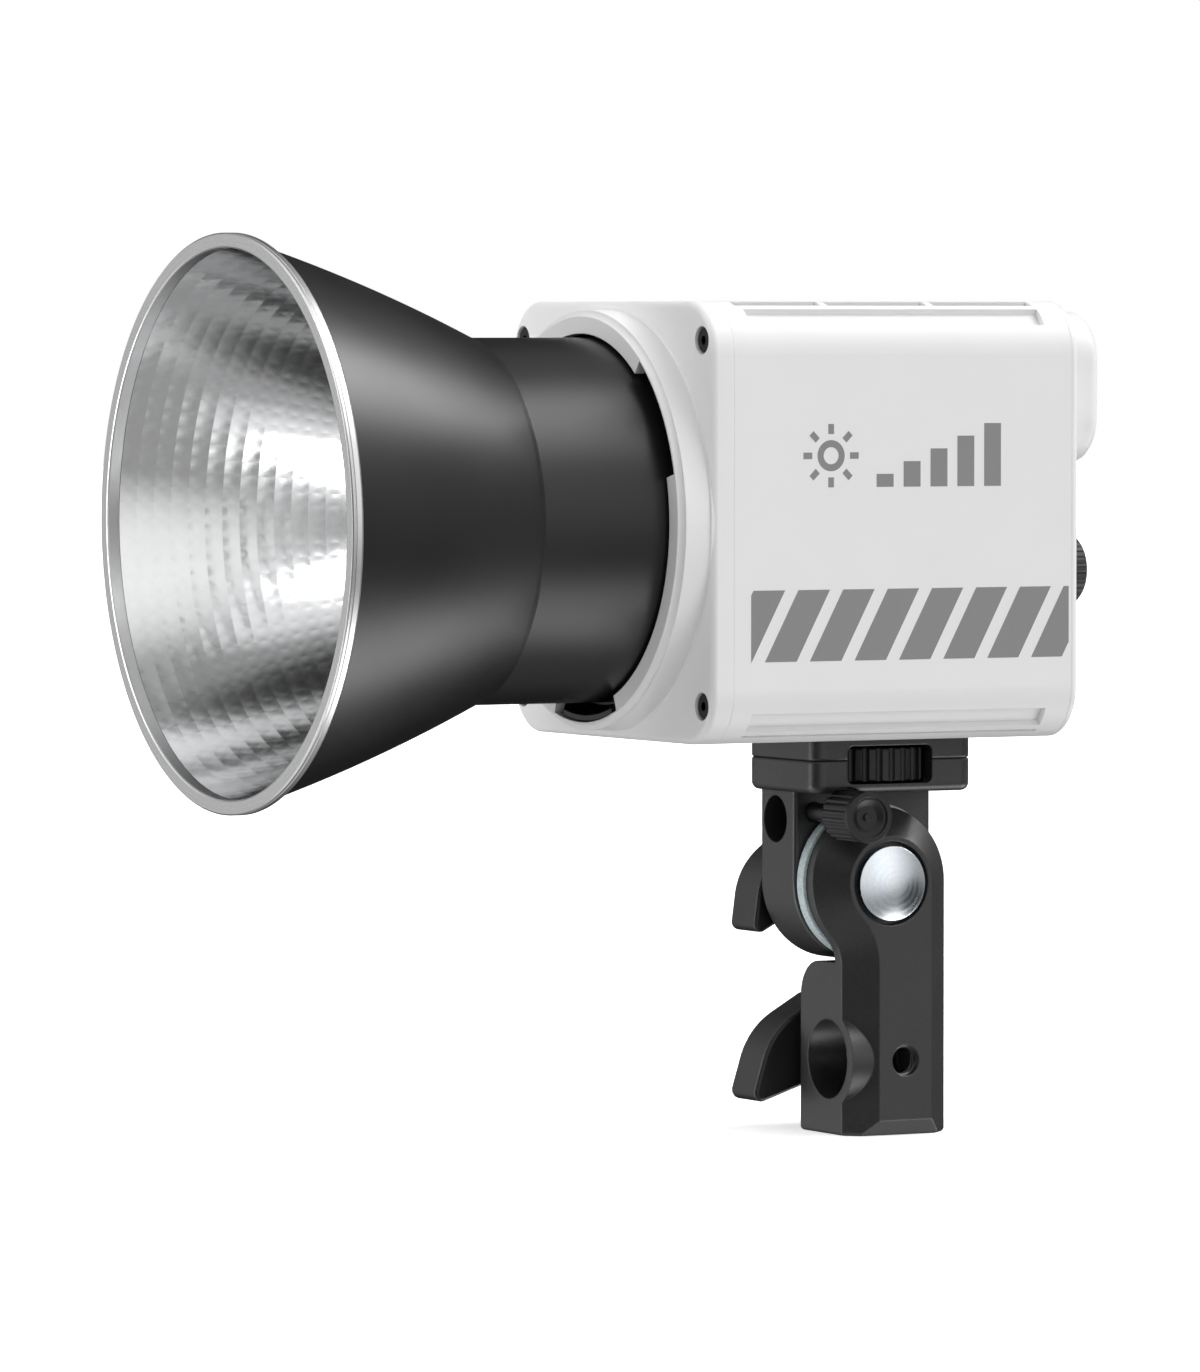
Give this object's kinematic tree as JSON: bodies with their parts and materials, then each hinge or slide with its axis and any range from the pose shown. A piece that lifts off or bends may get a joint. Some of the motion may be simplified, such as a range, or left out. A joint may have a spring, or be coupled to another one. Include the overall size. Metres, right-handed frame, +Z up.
{
  "type": "monolight",
  "caption": "Compact LED studio monolight: white box body, bayonet reflector bowl, rear dials and display, on a tilting stand bracket with umbrella hole and wing locks.",
  "frame": {"origin": "centre of the stand socket's mouth, on the bottom face of the stand adapter", "axes": "+Z up along the stand socket, towards the lamp; the lamp faces -Y; +X is the side with the domed tilt bolt and the umbrella screw"},
  "size_m": [0.1148, 0.1809, 0.1835],
  "materials": {
    "white_case": "fine matt white moulded plastic",
    "white_parts": "matt white moulded plastic, smoother",
    "black_plastic": "satin black moulded plastic",
    "rocker_black": "gloss black moulded plastic",
    "black_casting": "fine black powder coat over die cast aluminium",
    "black_sheet": "smooth satin black paint on pressed aluminium",
    "black_ring": "matt black anodised metal",
    "bright_sheet": "bright faceted reflector aluminium",
    "bare_aluminium": "machined aluminium",
    "zinc_steel": "bright zinc plated steel, faint blue",
    "polished_steel": "polished domed steel",
    "black_steel": "black oxide steel",
    "brass_insert": "turned brass",
    "glass_clear": "clear hardened glass",
    "display_glass": "dark tinted display window",
    "display_module": "display panel behind its window",
    "led_phosphor": "yellow phosphor layer",
    "led_substrate": "white ceramic board",
    "board_green": "green solder-masked board",
    "component_black": "moulded electronic component",
    "capacitor_sleeve": "sleeved capacitor"
  },
  "bodies": {
    "stand_adapter": {"stand_adapter": "black_casting", "lower_rosette": "zinc_steel", "tilt_bolt": "polished_steel", "stand_lock_washer": "zinc_steel"},
    "lamp_head": {"housing_sleeve": "white_case", "front_bezel": "white_case", "bezel_screws": "black_steel", "mount_ring": "black_ring", "lamp_holder": "white_parts", "lamp_glass": "glass_clear", "led_board": "led_substrate", "led_emitter": "led_phosphor", "lamp_screws": "zinc_steel", "heat_sink": "bare_aluminium", "fan_frame": "component_black", "fan_screws": "zinc_steel", "driver_board": "board_green", "driver_transformer": "component_black", "driver_capacitors": "capacitor_sleeve", "board_standoffs": "brass_insert", "control_board": "board_green", "tact_switches": "component_black", "rear_cover": "white_case", "rear_screws": "black_steel", "display_pod": "white_parts", "display_window": "display_glass", "display_panel": "display_module", "rocker_frame": "black_plastic", "dc_inlet": "black_plastic", "usb_port": "zinc_steel", "brightness_encoder": "component_black", "colour_encoder": "component_black", "foot_plate": "black_casting", "foot_screws": "zinc_steel", "threaded_bush": "brass_insert", "tilt_arm": "black_casting", "upper_rosette": "zinc_steel", "tilt_washer": "zinc_steel"},
    "reflector": {"reflector_shell": "black_sheet", "reflector_liner": "bright_sheet", "reflector_collar": "black_ring"},
    "release_latch": {"release_latch": "black_plastic", "latch_pin": "zinc_steel"},
    "fan_rotor": {"fan_rotor": "component_black"},
    "brightness_dial": {"brightness_knob": "black_plastic", "brightness_shaft": "bare_aluminium"},
    "colour_dial": {"colour_knob": "black_plastic", "colour_shaft": "bare_aluminium"},
    "mode_button": {"mode_button": "black_plastic"},
    "effect_button": {"effect_button": "black_plastic"},
    "group_button": {"group_button": "black_plastic"},
    "power_rocker": {"power_rocker": "rocker_black"},
    "tilt_lever": {"tilt_lever": "black_plastic"},
    "stand_lock": {"stand_lock_handle": "black_plastic", "stand_lock_screw": "zinc_steel"},
    "umbrella_screw": {"umbrella_screw": "black_plastic"},
    "thumbwheel": {"thumbwheel": "black_plastic", "thumbwheel_stud": "zinc_steel"}
  },
  "joints": [
    {"name": "tilt", "type": "hinge", "parent": "stand_adapter", "child": "lamp_head", "pos_m": [0, -0.0034, 0.0517], "axis": [1, 0, 0], "range_deg": [-90, 90]},
    {"name": "reflector_twist", "type": "hinge", "parent": "lamp_head", "child": "reflector", "pos_m": [0, -0.0774, 0.1261], "axis": [0, 1, 0], "range_deg": [0, 40]},
    {"name": "latch_press", "type": "slide", "parent": "lamp_head", "child": "release_latch", "axis": [0, 1, 0], "range_m": [0, 0.003], "stiffness_N_per_m": 600, "springref_m": -0.002},
    {"name": "fan_spin", "type": "hinge", "parent": "lamp_head", "child": "fan_rotor", "pos_m": [0, -0.0054, 0.1321], "axis": [0, 1, 0], "continuous": true},
    {"name": "brightness_turn", "type": "hinge", "parent": "lamp_head", "child": "brightness_dial", "pos_m": [0.027, 0.0226, 0.1157], "axis": [0, 1, 0], "continuous": true},
    {"name": "colour_turn", "type": "hinge", "parent": "lamp_head", "child": "colour_dial", "pos_m": [-0.027, 0.0226, 0.1157], "axis": [0, 1, 0], "continuous": true},
    {"name": "mode_press", "type": "slide", "parent": "lamp_head", "child": "mode_button", "axis": [0, -1, 0], "range_m": [0, 0.0008], "stiffness_N_per_m": 1500, "springref_m": -0.0006},
    {"name": "effect_press", "type": "slide", "parent": "lamp_head", "child": "effect_button", "axis": [0, -1, 0], "range_m": [0, 0.0008], "stiffness_N_per_m": 1500, "springref_m": -0.0006},
    {"name": "group_press", "type": "slide", "parent": "lamp_head", "child": "group_button", "axis": [0, -1, 0], "range_m": [0, 0.0008], "stiffness_N_per_m": 1500, "springref_m": -0.0006},
    {"name": "power_switch", "type": "hinge", "parent": "lamp_head", "child": "power_rocker", "pos_m": [-0.025, 0.0188, 0.0961], "axis": [1, 0, 0], "range_deg": [-18, 0]},
    {"name": "tilt_lever_turn", "type": "hinge", "parent": "stand_adapter", "child": "tilt_lever", "pos_m": [-0.02, -0.0034, 0.0517], "axis": [1, 0, 0], "continuous": true},
    {"name": "stand_lock_turn", "type": "hinge", "parent": "stand_adapter", "child": "stand_lock", "pos_m": [-0.02, 0, 0.0154], "axis": [1, 0, 0], "continuous": true},
    {"name": "umbrella_screw_turn", "type": "hinge", "parent": "lamp_head", "child": "umbrella_screw", "pos_m": [0.015, -0.0152, 0.066], "axis": [1, 0, 0], "continuous": true},
    {"name": "thumbwheel_turn", "type": "hinge", "parent": "lamp_head", "child": "thumbwheel", "pos_m": [0, -0.0047, 0.076], "axis": [0, 0, 1], "continuous": true}
  ]
}
